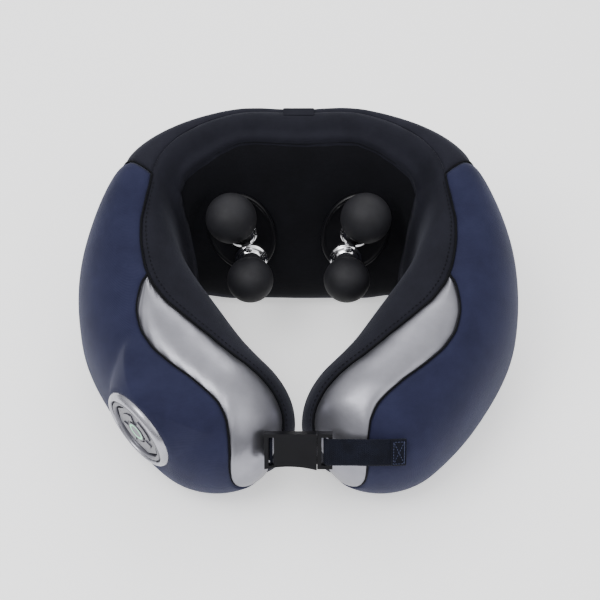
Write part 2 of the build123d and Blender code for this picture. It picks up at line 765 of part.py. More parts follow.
def button_outline(plane, centre_angle, clearance):
    """An arc-shaped button, as a sketch on a plane of the pod."""
    half = BUTTON_HALF_ANGLE + degrees(clearance / BUTTON_INNER)
    inner, outer = BUTTON_INNER - clearance, BUTTON_OUTER + clearance
    with BuildSketch(plane) as outline:
        with BuildLine():
            for radius in (inner, outer):
                CenterArc((0, 0), radius, centre_angle - half, 2 * half)
            for angle in (radians(centre_angle - half), radians(centre_angle + half)):
                Line(
                    (inner * cos(angle), inner * sin(angle)),
                    (outer * cos(angle), outer * sin(angle)),
                )
        make_face()
    return outline.sketch


with BuildPart() as pod_cup:
    with BuildSketch(POD.offset(-POD_DEPTH)):
        Circle(POD_CUP_RADIUS)
    extrude(amount=POD_DEPTH + 3)
    with BuildSketch(POD.offset(-POD_DEPTH + 2)):
        Circle(POD_CUP_RADIUS - 2)
    extrude(amount=POD_DEPTH + 3, mode=Mode.SUBTRACT)
save(pod_cup, "pod_cup")

with BuildPart() as pod_bezel:
    with BuildSketch(POD.offset(3)):
        Circle(POD_RADIUS)
        Circle(RING_INNER, mode=Mode.SUBTRACT)
    extrude(amount=6)
    fillet(pod_bezel.edges().group_by(lambda edge: POD.to_local_coords(edge.center()).Z)[-1]
           .sort_by(SortBy.LENGTH)[-1], 3.5)
save(pod_bezel, "pod_bezel")

with BuildPart() as pod_inner_ring:
    with BuildSketch(POD.offset(3)):
        Circle(RING_INNER)
        Circle(INNER_RING_INNER, mode=Mode.SUBTRACT)
    extrude(amount=4.6)
save(pod_inner_ring, "pod_inner_ring")

with BuildPart() as pod_face:
    with BuildSketch(POD.offset(3)):
        RegularPolygon(FACE_RADIUS, 8, rotation=22.5)
        Circle(POWER_RADIUS + BUTTON_CLEARANCE, mode=Mode.SUBTRACT)
    extrude(amount=FACE_TOP - 3)
    for _, angle in POD_BUTTONS:
        extrude(button_outline(POD.offset(3), angle, BUTTON_CLEARANCE), amount=FACE_TOP, mode=Mode.SUBTRACT)
save(pod_face, "pod_face")

for name, angle in POD_BUTTONS:
    with BuildPart() as button:
        extrude(button_outline(POD.offset(1.6), angle, 0), amount=BUTTON_TOP - 1.6)
    save(button, name)

with BuildPart() as power_button:
    with BuildSketch(POD.offset(1.6)):
        Circle(POWER_RADIUS)
    extrude(amount=POWER_TOP - 1.6)
    with BuildSketch(POD.offset(POWER_TOP - 0.8)):
        Circle(POWER_RADIUS - 1.2)
        Circle(POWER_RADIUS - 2.6, mode=Mode.SUBTRACT)
    extrude(amount=1, mode=Mode.SUBTRACT)
save(power_button, "power_button")

with BuildPart() as power_light:
    with BuildSketch(POD.offset(POWER_TOP - 0.8)):
        Circle(POWER_RADIUS - 1.2)
        Circle(POWER_RADIUS - 2.6, mode=Mode.SUBTRACT)
    extrude(amount=0.8)
save(power_light, "power_light")

SWITCH_PLACES = [
    (11.8 * cos(radians(angle)), 11.8 * sin(radians(angle))) for _, angle in POD_BUTTONS
] + [(0, 0)]
BOARD_TOP = -2.4
with BuildPart() as pod_board:
    with BuildSketch(POD.offset(BOARD_TOP - 1.6)):
        Circle(POD_CUP_RADIUS - 2.4)
    extrude(amount=1.6)
    # the key switches under the buttons
    with BuildSketch(POD.offset(BOARD_TOP)):
        with Locations(*SWITCH_PLACES):
            Rectangle(5, 5)
    extrude(amount=1.6 - BOARD_TOP - BUTTON_TRAVEL_ROOM)
save(pod_board, "pod_board")

with BuildPart() as pod_screws:
    with BuildSketch(POD.offset(-POD_DEPTH + 2)):
        with PolarLocations(20, 3):
            Circle(1.5)
    extrude(amount=POD_DEPTH - 2 + BOARD_TOP - 1.6)
save(pod_screws, "pod_screws")


# ---------------------------------------------------------------- buckle and straps

BAR_WIDTH = 2.8
LEFT_SLOT = (-19.5, -16.0)
RIGHT_SLOT = (15.0, 19.5)
PRONG_ROWS = (-6.5, 6.5)
PRONG_HALF_WIDTH = 2.6


def buckle_rectangle(x_range, y_middle, y_half, height):
    """A rectangle in the buckle's own frame, as a sketch."""
    with BuildSketch(BUCKLE.offset(height)) as outline:
        with Locations(((x_range[0] + x_range[1]) / 2, y_middle)):
            Rectangle(x_range[1] - x_range[0], 2 * y_half)
    return outline.sketch


HALF = BUCKLE_THICKNESS / 2
SLOT_HALF_WIDTH = STRAP_WIDTH / 2 + 0.6
PRONG_CLEARANCE = 0.3
with BuildPart() as buckle_socket:
    with BuildSketch(BUCKLE.offset(-HALF)):
        with BuildLine():
            RadiusArc((-BUCKLE_HALF_LENGTH, -BUCKLE_HALF_WIDTH), (TONGUE_START - 0.3, -BUCKLE_HALF_WIDTH - 0.8), 70)
            Line((TONGUE_START - 0.3, -BUCKLE_HALF_WIDTH - 0.8), (TONGUE_START - 0.3, BUCKLE_HALF_WIDTH))
            Line((TONGUE_START - 0.3, BUCKLE_HALF_WIDTH), (-BUCKLE_HALF_LENGTH, BUCKLE_HALF_WIDTH))
            Line((-BUCKLE_HALF_LENGTH, BUCKLE_HALF_WIDTH), (-BUCKLE_HALF_LENGTH, -BUCKLE_HALF_WIDTH))
        make_face()
    extrude(amount=BUCKLE_THICKNESS)
    extrude(
        buckle_rectangle(LEFT_SLOT, 0, SLOT_HALF_WIDTH, -HALF), amount=BUCKLE_THICKNESS, mode=Mode.SUBTRACT
    )
    for row in PRONG_ROWS:
        room = buckle_rectangle(
            (PRONG_END - 0.5, TONGUE_START),
            row,
            PRONG_HALF_WIDTH + PRONG_CLEARANCE,
            -PRONG_THICKNESS / 2 - PRONG_CLEARANCE,
        )
        extrude(room, amount=PRONG_THICKNESS + 2 * PRONG_CLEARANCE, mode=Mode.SUBTRACT)
save(buckle_socket, "buckle_socket")

with BuildPart() as buckle_tongue:
    extrude(
        buckle_rectangle((TONGUE_START, BUCKLE_HALF_LENGTH), 0, BUCKLE_HALF_WIDTH, -HALF),
        amount=BUCKLE_THICKNESS,
    )
    extrude(
        buckle_rectangle(RIGHT_SLOT, 0, SLOT_HALF_WIDTH, -HALF), amount=BUCKLE_THICKNESS, mode=Mode.SUBTRACT
    )
    for row in PRONG_ROWS:
        prong = buckle_rectangle(
            (PRONG_END, TONGUE_START), row, PRONG_HALF_WIDTH, -PRONG_THICKNESS / 2
        )
        extrude(prong, amount=PRONG_THICKNESS)
save(buckle_tongue, "buckle_tongue")


def make_strap(points):
    """Webbing along a route of (x, height) points in the buckle's frame, one strap width across."""
    route_plane = Plane(
        origin=BUCKLE.from_local_coords(Vector(0, -STRAP_WIDTH / 2, 0)), x_dir=(1, 0, 0), z_dir=-BUCKLE.y_dir
    )
    with BuildPart() as strap:
        with BuildSketch(route_plane):
            with BuildLine():
                Polyline(*points)
            trace(line_width=STRAP_THICKNESS)
        extrude(amount=-STRAP_WIDTH)
    return strap


save(make_strap([(-17.8, 2.0), (-17.8, -5.5), (-21.0, -8.0)]), "left_strap")
save(make_strap([(17.2, -4.5), (17.2, 2.6), (19.6, 5.0), (24.0, 4.7), (46.0, 5.5), (58.0, 5.2), (70.0, 3.6)]), "right_strap")
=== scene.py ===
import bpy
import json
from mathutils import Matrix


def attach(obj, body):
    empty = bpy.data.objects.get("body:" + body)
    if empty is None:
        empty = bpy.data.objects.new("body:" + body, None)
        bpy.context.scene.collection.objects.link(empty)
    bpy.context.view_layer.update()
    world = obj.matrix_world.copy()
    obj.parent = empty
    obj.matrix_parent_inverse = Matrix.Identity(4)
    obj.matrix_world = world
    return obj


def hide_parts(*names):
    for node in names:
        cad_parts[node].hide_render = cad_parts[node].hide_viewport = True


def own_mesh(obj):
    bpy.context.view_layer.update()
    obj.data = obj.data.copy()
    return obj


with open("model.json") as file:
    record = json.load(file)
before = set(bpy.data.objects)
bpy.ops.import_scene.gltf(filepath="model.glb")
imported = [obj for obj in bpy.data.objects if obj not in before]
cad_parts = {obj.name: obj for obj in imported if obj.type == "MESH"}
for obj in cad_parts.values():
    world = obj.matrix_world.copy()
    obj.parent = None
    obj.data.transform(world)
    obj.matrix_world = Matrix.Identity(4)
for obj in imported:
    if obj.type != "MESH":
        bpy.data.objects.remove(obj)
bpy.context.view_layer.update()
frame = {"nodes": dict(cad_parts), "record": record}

# Looks of the shiatsu neck massager. +Z is up and the buckle is at -Y. Sizes are in millimetres, and
# new_object turns them into the frame's metres.

import json

import bmesh
import bpy
import numpy as np
from mathutils import Vector

NODES = frame["nodes"]
MM = 0.001

# ---------------------------------------------------------------- driving sizes, as in the CAD model

# place along the collar, x, y, heading, section centre low/high, half width low/high, base, crown, power
STATIONS = np.array(
    [
        [0.00, 0, 96, 0, -9, 17, 42, 17, -1, 146, 3.0],
        [0.14, 48, 96, 4, -9, 17, 42, 17, -1, 145, 3.0],
        [0.30, 100, 76, 48, 0, 10, 34, 22, -1, 134, 2.8],
        [0.44, 115, 34, 78, 0, 0, 37, 37, -3, 118, 2.6],
        [0.58, 106, -10, 98, -2, -3, 49, 45, -3, 108, 2.5],
        [0.72, 83, -51, 116, -2, -3, 50, 46, -3, 100, 2.4],
        [0.86, 54, -84, 128, -2, -2, 50, 46, -3, 94, 2.3],
        [1.00, 18, -112, 134, 0, 0, 48, 44, 1, 88, 2.2],
    ]
)
TIP_START = 0.84
TIP_ROUNDNESS = 2.2
FLOOR_CLEARANCE = 0.4
CLOTH_THICKNESS = 1.3
WALL_ORIGIN = np.array([0, 70, 73.0])
WALL_LEAN = np.radians(19.8)
WALL_OUT = np.array([0, -np.cos(WALL_LEAN), np.sin(WALL_LEAN)])
WALL_UP = np.array([0, np.sin(WALL_LEAN), np.cos(WALL_LEAN)])
HEAD_SPACING = 41.0
SWEEP_RADIUS = 35.5
SWEEP_TOP = 9.0
FABRIC_UNDER_CARRIER = 0.8
CARRIER_LENGTH, CARRIER_WIDTH = 31.9, 23.9
ORBIT_RADIUS = 22.5
BALL_TILT = np.radians(17.0)
POD_ORIGIN = np.array([-102.5, -94.0, 59.1])
POD_AXIS = np.array([-0.73, -0.68, -0.07])
POD_AXIS = POD_AXIS / np.linalg.norm(POD_AXIS)
POD_RADIUS = 30.0
POD_SEAT_HEIGHT = 2.6
POD_SEAT_SLOPE = 1.15
BUCKLE_ORIGIN = np.array([0, -120.0, 67.0])
BUCKLE_LEAN = np.radians(36.87)
BUCKLE_OUT = np.array([0, -np.cos(BUCKLE_LEAN), np.sin(BUCKLE_LEAN)])
BUCKLE_UP = np.array([0, np.sin(BUCKLE_LEAN), np.cos(BUCKLE_LEAN)])
SOCKET_FACE = 126.6
SOCKET_HEIGHT = 32.0
SOCKET_HALF_WIDTH, SOCKET_HALF_HEIGHT = 8.6, 5.1
LEFT, RIGHT = -1, 1
SIDE_NAMES = {LEFT: "left", RIGHT: "right"}


# ---------------------------------------------------------------- camera, light and floor


def add_camera():
    """Straight on, from 50 degrees above, framing 420 mm."""
    elevation = np.radians(50.0)
    distance = 1.150
    framed_width = 0.420
    target = Vector((0.00105, 0.004, 0.072))
    data = bpy.data.cameras.new("view")
    camera = bpy.data.objects.new("view", data)
    camera.location = target + distance * Vector((0, -np.cos(elevation), np.sin(elevation)))
    camera.rotation_euler = (target - camera.location).to_track_quat("-Z", "Y").to_euler()
    data.sensor_width = 36.0
    data.lens = data.sensor_width * distance / framed_width
    bpy.context.scene.collection.objects.link(camera)
    bpy.context.scene.camera = camera


def add_area_light(name, location, target, size, power):
    data = bpy.data.lights.new(name, "AREA")
    data.size = size
    data.energy = power
    light = bpy.data.objects.new(name, data)
    light.location = location
    light.rotation_euler = (Vector(target) - Vector(location)).to_track_quat("-Z", "Y").to_euler()
    bpy.context.scene.collection.objects.link(light)


def add_floor():
    """A pale paper floor, just under the collar."""
    mesh = bpy.data.meshes.new("floor")
    half = 6.0
    corners = [(-half, -half, 0), (half, -half, 0), (half, half, 0), (-half, half, 0)]
    mesh.from_pydata(corners, [], [(0, 1, 2, 3)])
    floor = bpy.data.objects.new("floor", mesh)
    floor.location.z = -0.0005
    bpy.context.scene.collection.objects.link(floor)
    material = bpy.data.materials.new("floor_paper")
    material.use_nodes = True
    shader = material.node_tree.nodes["Principled BSDF"]
    shader.inputs["Base Color"].default_value = (0.92, 0.92, 0.93, 1)
    shader.inputs["Roughness"].default_value = 0.95
    shader.inputs["Emission Color"].default_value = (1, 1, 1, 1)
    shader.inputs["Emission Strength"].default_value = 0.7
    mesh.materials.append(material)


def add_lights():
    """A studio sky that is bright overhead and dim at the horizon, and three soft lights."""
    world = bpy.data.worlds.new("studio")
    world.use_nodes = True
    background = world.node_tree.nodes["Background"]
    background.inputs["Strength"].default_value = 1.0
    gradient = world.node_tree.nodes.new("ShaderNodeTexGradient")
    turned = world.node_tree.nodes.new("ShaderNodeMapping")
    turned.inputs["Rotation"].default_value = (0, np.radians(90), 0)
    ramp = world.node_tree.nodes.new("ShaderNodeValToRGB")
    ramp.color_ramp.elements[0].position = 0.05
    ramp.color_ramp.elements[0].color = (0.10, 0.10, 0.11, 1)
    ramp.color_ramp.elements[1].position = 0.80
    ramp.color_ramp.elements[1].color = (1.35, 1.35, 1.35, 1)
    coordinates = world.node_tree.nodes.new("ShaderNodeTexCoord")
    links = world.node_tree.links
    links.new(coordinates.outputs["Generated"], turned.inputs["Vector"])
    links.new(turned.outputs["Vector"], gradient.inputs["Vector"])
    links.new(gradient.outputs["Fac"], ramp.inputs["Fac"])
    links.new(ramp.outputs["Color"], background.inputs["Color"])
    bpy.context.scene.world = world
    add_area_light("key", (-0.7, -0.5, 1.5), (0, 0, 0.05), 0.9, 16)
    add_area_light("fill", (0.9, -0.9, 1.1), (0, 0, 0.05), 1.0, 4)
    add_area_light("back", (0.1, 1.2, 1.2), (0, 0, 0.08), 1.0, 8)


# ---------------------------------------------------------------- the collar's surface


def station_curve(place, column):
    """One station column at places 0 to 1, on the same smooth curve as the CAD model."""
    places = np.concatenate([[-STATIONS[1, 0]], STATIONS[:, 0]])
    sign = -1 if column in (1, 3) else 1
    values = np.concatenate([[sign * STATIONS[1, column]], STATIONS[:, column]])
    rises = np.diff(values) / np.diff(places)
    steps = np.diff(places)
    slopes = np.empty(len(places))
    slopes[1:-1] = (rises[:-1] * steps[1:] + rises[1:] * steps[:-1]) / (steps[:-1] + steps[1:])
    slopes[0], slopes[-1] = rises[0], rises[-1]
    i = np.clip(np.searchsorted(places, place, side="left") - 1, 1, len(places) - 2)
    span = places[i + 1] - places[i]
    u = (place - places[i]) / span
    return (
        (2 * u**3 - 3 * u**2 + 1) * values[i]
        + (u**3 - 2 * u**2 + u) * span * slopes[i]
        + (-2 * u**3 + 3 * u**2) * values[i + 1]
        + (u**3 - u**2) * span * slopes[i + 1]
    )


def smooth_step(value, low, high):
    t = np.clip((value - low) / (high - low), 0, 1)
    return t * t * (3 - 2 * t)


def raw_surface(place, angle):
    """Points in millimetres. place runs -1 to 1; angle in degrees: 0 outwards, 90 crown, 180 inwards."""
    place, angle = np.broadcast_arrays(np.asarray(place, float), np.asarray(angle, float))
    along, side = np.abs(place), np.where(place < 0, -1.0, 1.0)
    x, y, heading, c_low, c_high, w_low, w_high, base, crown, power = (
        station_curve(along, column) for column in range(1, 11)
    )
    tip = np.clip((along - TIP_START) / (1 - TIP_START), 0, 1)
    shrink = np.sqrt(np.maximum(0, 1 - tip**TIP_ROUNDNESS)) ** 0.9
    c, s = np.cos(np.radians(angle)), np.sin(np.radians(angle))
    across = np.sign(c) * np.abs(c) ** (2 / power) * shrink
    up = np.sign(s) * np.abs(s) ** (2 / power) * shrink
    height = (up + 1) / 2
    offset = c_low + (c_high - c_low) * height + (w_low + (w_high - w_low) * height) * across
    turn = np.radians(heading)
    points = np.stack(
        [
            side * (x + offset * np.sin(turn)),
            y + offset * np.cos(turn),
            base + height * (crown - base),
        ],
        -1,
    )
    return make_room(points)


def sink_under_carrier(points, side):
    """Fabric that stands in a carrier's sweep sinks to just off the wall."""
    local = points - WALL_ORIGIN - np.array([side * HEAD_SPACING, 0, 0])
    out = local @ WALL_OUT
    radius = np.hypot(local[..., 0], local @ WALL_UP)
    near = 1 - smooth_step(radius, SWEEP_RADIUS - 1, SWEEP_RADIUS + 7)
    low = 1 - smooth_step(out, SWEEP_TOP, SWEEP_TOP + 5)
    sink = np.maximum(0, out - FABRIC_UNDER_CARRIER) * near * low
    return points - sink[..., None] * WALL_OUT


def seat_pod(points):
    """The fabric rises in a cone to the foot of the pod's bezel, and stays below its face inside it."""
    local = points - POD_ORIGIN
    out = local @ POD_AXIS
    radius = np.linalg.norm(local - out[..., None] * POD_AXIS, axis=-1)
    cone = POD_SEAT_HEIGHT - POD_SEAT_SLOPE * np.maximum(0, radius - POD_RADIUS - 1)
    rounding = 1.2 * np.exp(-np.abs(out - cone) / 2.4)
    raised = np.where(cone > -26, np.maximum(out, cone) + rounding, out)
    seated = out + (raised - out) * smooth_step(out, -31, -24) * smooth_step(cone, -26, -16)
    seated = np.where(radius < POD_RADIUS - 1.5, np.minimum(seated, 1.5), seated)
    near_rim = 1 - smooth_step(radius, POD_RADIUS, POD_RADIUS + 9)
    seated = seated - np.maximum(0, seated - 3.4) * near_rim
    return points + (seated - out)[..., None] * POD_AXIS


def clear_socket(points):
    """The rear shell steps in behind the charge socket's face."""
    beside = np.abs(points[..., 0]) < SOCKET_HALF_WIDTH
    level = np.abs(points[..., 2] - SOCKET_HEIGHT) < SOCKET_HALF_HEIGHT
    at_socket = beside & level & (points[..., 1] > 100)
    points[..., 1] = np.where(at_socket, np.minimum(points[..., 1], SOCKET_FACE - 1.6), points[..., 1])
    return points


def make_room(points):
    """The surface, fitted around the carriers, the pod, the charge socket and the floor."""
    for side in (LEFT, RIGHT):
        points = sink_under_carrier(points, side)
    points = clear_socket(seat_pod(points))
    points[..., 2] = np.maximum(points[..., 2], FLOOR_CLEARANCE)
    return points


def surface(place, angle, lift):
    """Points lifted off the surface along its outward normal, in millimetres."""
    place, angle = np.broadcast_arrays(np.asarray(place, float), np.asarray(angle, float))
    step_place, step_angle = 0.0003, 0.6
    inner = np.clip(place, -0.9996, 0.9996)
    across = raw_surface(inner, angle + step_angle) - raw_surface(inner, angle - step_angle)
    along = raw_surface(inner + step_place, angle) - raw_surface(inner - step_place, angle)
    normal = np.cross(across, along)
    normal /= np.maximum(np.linalg.norm(normal, axis=-1, keepdims=True), 1e-9)
    points = raw_surface(place, angle) + normal * np.asarray(lift)[..., None]
    points[..., 2] = np.maximum(points[..., 2], FLOOR_CLEARANCE)
    return points


def seam_line(places, angles, lift):
    return surface(places, angles, np.full(np.shape(places), lift))


# ---------------------------------------------------------------- seams, as place and section angle

LINING_EDGE = np.array(
    [
        (0.00, 83), (0.12, 85), (0.23, 92), (0.30, 107), (0.34, 109), (0.42, 97), (0.48, 94), (0.54, 92),
        (0.58, 92), (0.63, 95), (0.68, 102), (0.74, 110), (0.82, 117), (0.89, 124), (0.94, 130), (1.0, 140),
    ]
)
SILVER_EDGE = np.array(
    [
        (0.562, 92), (0.57, 90), (0.60, 84), (0.64, 75), (0.68, 70), (0.72, 70), (0.77, 74), (0.82, 78),
        (0.87, 79), (0.90, 78), (0.93, 71), (0.952, 57), (0.966, 39), (0.973, 15), (0.976, -15), (0.978, -50),
        (0.980, -92),
    ]
)
POCKET_EDGE = np.array(
    [(0.00, 130), (0.12, 130), (0.16, 133), (0.20, 138), (0.24, 142), (0.265, 149), (0.273, 158)]
)
SILVER_START = SILVER_EDGE[0, 0]
REAR_END = 0.318
POCKET_END = POCKET_EDGE[-1, 0]
NAVY_END = 0.9795


def base_outer(place):
    """Where the outer covers meet the underside: its middle line past the end of the base panel."""
    return -74 - 16 * smooth_step(np.abs(place), 0.84, 0.90)


def base_inner(place):
    """Where the lining meets the underside."""
    return 252 + 18 * smooth_step(np.abs(place), 0.84, 0.90)


def seam_angle(seam, place):
    """A seam's section angle, smoothed between its points, less so where the arm narrows to its tip."""
    place = np.abs(place)
    width = np.minimum(0.012, 0.0005 + 0.15 * (1 - np.minimum(place, 1)))
    samples = [np.interp(place + width * k / 2, seam[:, 0], seam[:, 1]) for k in (-2, -1, 0, 1, 2)]
    return (samples[0] + 2 * samples[1] + 3 * samples[2] + 2 * samples[3] + samples[4]) / 9


def lining_edge(place):
    """Where the black lining meets the outer covers, along the top of the collar."""
    return seam_angle(LINING_EDGE, place)


def navy_top(place):
    """The navy cover ends at the lining, and past the silver panel's start at the silver."""
    lining = lining_edge(place)
    return np.where(np.abs(place) < SILVER_START, lining, np.minimum(silver_bottom(place), lining))


def silver_bottom(place):
    """The silver crescent's outer edge, which runs down around the tip."""
    edge = seam_angle(SILVER_EDGE, place)
    return np.maximum(np.minimum(edge, lining_edge(place)), base_outer(place))


# ---------------------------------------------------------------- mesh helpers


def new_object(name, vertices, faces, closed=True):
    """A smooth mesh from millimetre points. A closed one gets its faces turned outwards."""
    mesh = bpy.data.meshes.new(name)
    mesh.from_pydata([tuple(v) for v in np.asarray(vertices) * MM], [], faces)
    if closed:
        work = bmesh.new()
        work.from_mesh(mesh)
        bmesh.ops.recalc_face_normals(work, faces=work.faces)
        work.to_mesh(mesh)
        work.free()
    mesh.update()
    mesh.polygons.foreach_set("use_smooth", [True] * len(mesh.polygons))
    piece = bpy.data.objects.new(name, mesh)
    bpy.context.scene.collection.objects.link(piece)
    return piece


def grid_faces(rows, columns, close_columns=False):
    """Four-sided faces over points in rows, joined around into a tube if the columns close."""
    faces = []
    for row in range(rows - 1):
        for column in range(columns if close_columns else columns - 1):
            right = (column + 1) % columns
            start = row * columns
            faces.append((start + column, start + right, start + columns + right, start + columns + column))
    return faces


def apply_modifiers(piece):
    """Bakes a piece's modifiers into its mesh."""
    graph = bpy.context.evaluated_depsgraph_get()
    mesh = bpy.data.meshes.new_from_object(piece.evaluated_get(graph))
    piece.modifiers.clear()
    old = piece.data
    piece.data = mesh
    bpy.data.meshes.remove(old)


def under_buckle(points):
    """1 under the tongue's travel, where the fabric is pressed flat, and 0 away from it."""
    local = points - BUCKLE_ORIGIN
    beside = smooth_step(local[..., 0], -2, 8) * (1 - smooth_step(local[..., 0], 36, 62))
    above = 1 - smooth_step(np.abs(local @ BUCKLE_UP), 12, 34)
    return beside * above * (1 - smooth_step(local[..., 1], 20, 40))


def fabric_patch(name, places, low, high, material, replaced, columns, crown, lift=0.9,
                 tuck=1.5, thickness=CLOTH_THICKNESS, extra=None):
    """A sewn panel on the collar between two seams, crowned, with its edges tucked into the seams."""
    places = np.sort(np.asarray(places, float))
    spread = 0.5 - 0.5 * np.cos(np.pi * np.linspace(0, 1, columns))
    fraction = 0.45 * spread + 0.55 * np.linspace(0, 1, columns)
    lows, highs = low(places), high(places)
    angle = lows[:, None] + (highs - lows)[:, None] * fraction[None, :]
    place = np.repeat(places[:, None], columns, axis=1)
    flat = raw_surface(place, angle)
    steps = np.linalg.norm(np.diff(flat, axis=1), axis=-1)
    across = np.concatenate([np.zeros((len(places), 1)), np.cumsum(steps, 1)], 1)
    edge = np.minimum(across, across[:, -1:] - across)
    along = np.linalg.norm(np.diff(flat, axis=0), axis=-1)
    run = np.concatenate([np.zeros((1, columns)), np.cumsum(along, 0)], 0)
    open_end = np.full_like(run, 1e3)
    start_end = run if abs(places[0]) < 0.999 else open_end
    far_end = run[-1:] - run if abs(places[-1]) < 0.999 else open_end
    end = np.minimum(start_end, far_end)
    distance = np.minimum(edge, end)
    rise = 1 - np.exp(-distance / 3.0)
    crowning = np.sin(np.pi * np.clip(across / np.maximum(across[:, -1:], 1e-6), 0, 1)) * crown
    pucker = 0.12 * np.sin(run / 2.3) * np.exp(-distance / 4.0)
    drape = 0.22 * np.sin(run / 19 + across / 31) * np.sin(across / 14 - run / 43)
    lifts = -tuck + (lift + tuck) * rise + (crowning + drape) * rise + pucker * np.minimum(1, distance)
    if extra is not None:
        lifts = lifts + extra(place, angle)
    pressed = under_buckle(flat)
    lifts = lifts * (1 - pressed) - 1.1 * pressed
    points = surface(place, angle, lifts)
    piece = new_object(name, points.reshape(-1, 3), grid_faces(len(places), columns), closed=False)
    solid = piece.modifiers.new("cloth", "SOLIDIFY")
    solid.thickness = thickness * MM
    solid.offset = -1
    apply_modifiers(piece)
    piece.data.polygons.foreach_set("use_smooth", [True] * len(piece.data.polygons))
    finish_piece(piece, "collar", material, replaced)
    return piece


def finish_piece(piece, body, material, replaced=()):
    """Gives a piece its finish and its CAD body, and hides the CAD nodes that it stands for."""
    piece.data.materials.clear()
    piece.data.materials.append(material)
    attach(piece, body)
    if replaced:
        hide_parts(*replaced)


def piping(name, places, angles, radius, lift=-0.1):
    """A round sewn cord that rides on the collar, along places and section angles."""
    sides = 8
    points = seam_line(places, angles, lift)
    tangent = np.gradient(points, axis=0)
    tangent /= np.maximum(np.linalg.norm(tangent, axis=1, keepdims=True), 1e-9)
    first = np.cross(tangent, np.array([0.31, 0.17, 0.93]))
    first /= np.linalg.norm(first, axis=1, keepdims=True)
    second = np.cross(tangent, first)
    turn = np.linspace(0, 2 * np.pi, sides, endpoint=False)
    ring = first[:, None, :] * np.cos(turn)[None, :, None] + second[:, None, :] * np.sin(turn)[None, :, None]
    vertices = (points[:, None, :] + radius * ring).reshape(-1, 3)
    faces = grid_faces(len(points), sides, True)
    faces += [tuple(range(sides))[::-1], tuple((len(points) - 1) * sides + k for k in range(sides))]
    finish_piece(new_object(name, vertices, faces), "collar", THREAD_DARK)


def stitches(name, points, normals, material, slot, pitch=3.4, length=2.1, radius=0.28):
    """A row of separate sewn stitches along a line of points."""
    points = np.asarray(points, float)
    run = np.concatenate([[0], np.cumsum(np.linalg.norm(np.diff(points, axis=0), axis=1))])
    vertices, faces = [], []
    profile = ((-0.5, 0.25), (-0.3, 0.9), (0.0, 1.0), (0.3, 0.9), (0.5, 0.25))
    sides = 6
    for start in np.arange(1.0, run[-1] - length, pitch):
        centre, ahead, up = (
            np.array([np.interp(start + shift, run, source[:, k]) for k in range(3)])
            for shift, source in ((length / 2, points), (length, points), (length / 2, normals))
        )
        direction = ahead - np.array([np.interp(start, run, points[:, k]) for k in range(3)])
        direction /= np.linalg.norm(direction)
        up = up - direction * (up @ direction)
        up /= np.linalg.norm(up)
        side = np.cross(direction, up)
        first = len(vertices)
        for where, size in profile:
            for k in range(sides):
                a = 2 * np.pi * k / sides
                arch = 0.18 * (1 - (2 * where) ** 2)
                vertices.append(
                    centre + direction * where * length
                    + size * radius * (np.cos(a) * side + np.sin(a) * up) + up * arch
                )
        rows = grid_faces(len(profile), sides, True)
        faces += [tuple(first + index for index in face) for face in rows]
        faces += [tuple(first + k for k in range(sides))[::-1]]
        faces += [tuple(first + (len(profile) - 1) * sides + k for k in range(sides))]
    piece = new_object(name, vertices, faces)
    finish_piece(piece, "collar", material)
    return piece


def lathe(name, profile, origin, axis, slot, body, segments=96, replaced=()):
    """A turned piece: profile is (radius, height) pairs in millimetres about an axis."""
    axis = np.asarray(axis, float)
    side = np.cross(axis, (0.1, 0.2, 0.97))
    side /= np.linalg.norm(side)
    other = np.cross(axis, side)
    turn = np.linspace(0, 2 * np.pi, segments, endpoint=False)
    around = np.cos(turn)[:, None] * side + np.sin(turn)[:, None] * other
    vertices = []
    for radius, height in profile:
        vertices += list(np.asarray(origin) + radius * around + height * axis)
    faces = grid_faces(len(profile), segments, True)
    last = (len(profile) - 1) * segments
    if np.isclose(profile[0][0], profile[-1][0]):
        faces += [(last + k, last + (k + 1) % segments, (k + 1) % segments, k) for k in range(segments)]
    else:
        faces += [tuple(range(segments))[::-1], tuple(last + k for k in range(segments))]
    finish_piece(new_object(name, vertices, faces), body, MATERIALS[slot], replaced)


def rounded(points, radius=0.6, steps=5):
    """A lathe profile with its inner corners rounded by short arcs."""
    points = [np.asarray(p, float) for p in points]
    result = [points[0]]
    for before, corner, after in zip(points, points[1:], points[2:]):
        into, out = before - corner, after - corner
        reach = min(radius, np.linalg.norm(into) * 0.45, np.linalg.norm(out) * 0.45)
        start = corner + into / np.linalg.norm(into) * reach
        end = corner + out / np.linalg.norm(out) * reach
        for t in np.linspace(0, 1, steps):
            result.append((1 - t) ** 2 * start + 2 * t * (1 - t) * corner + t**2 * end)
    result.append(points[-1])
    return [tuple(p) for p in result]


# ---------------------------------------------------------------- materials


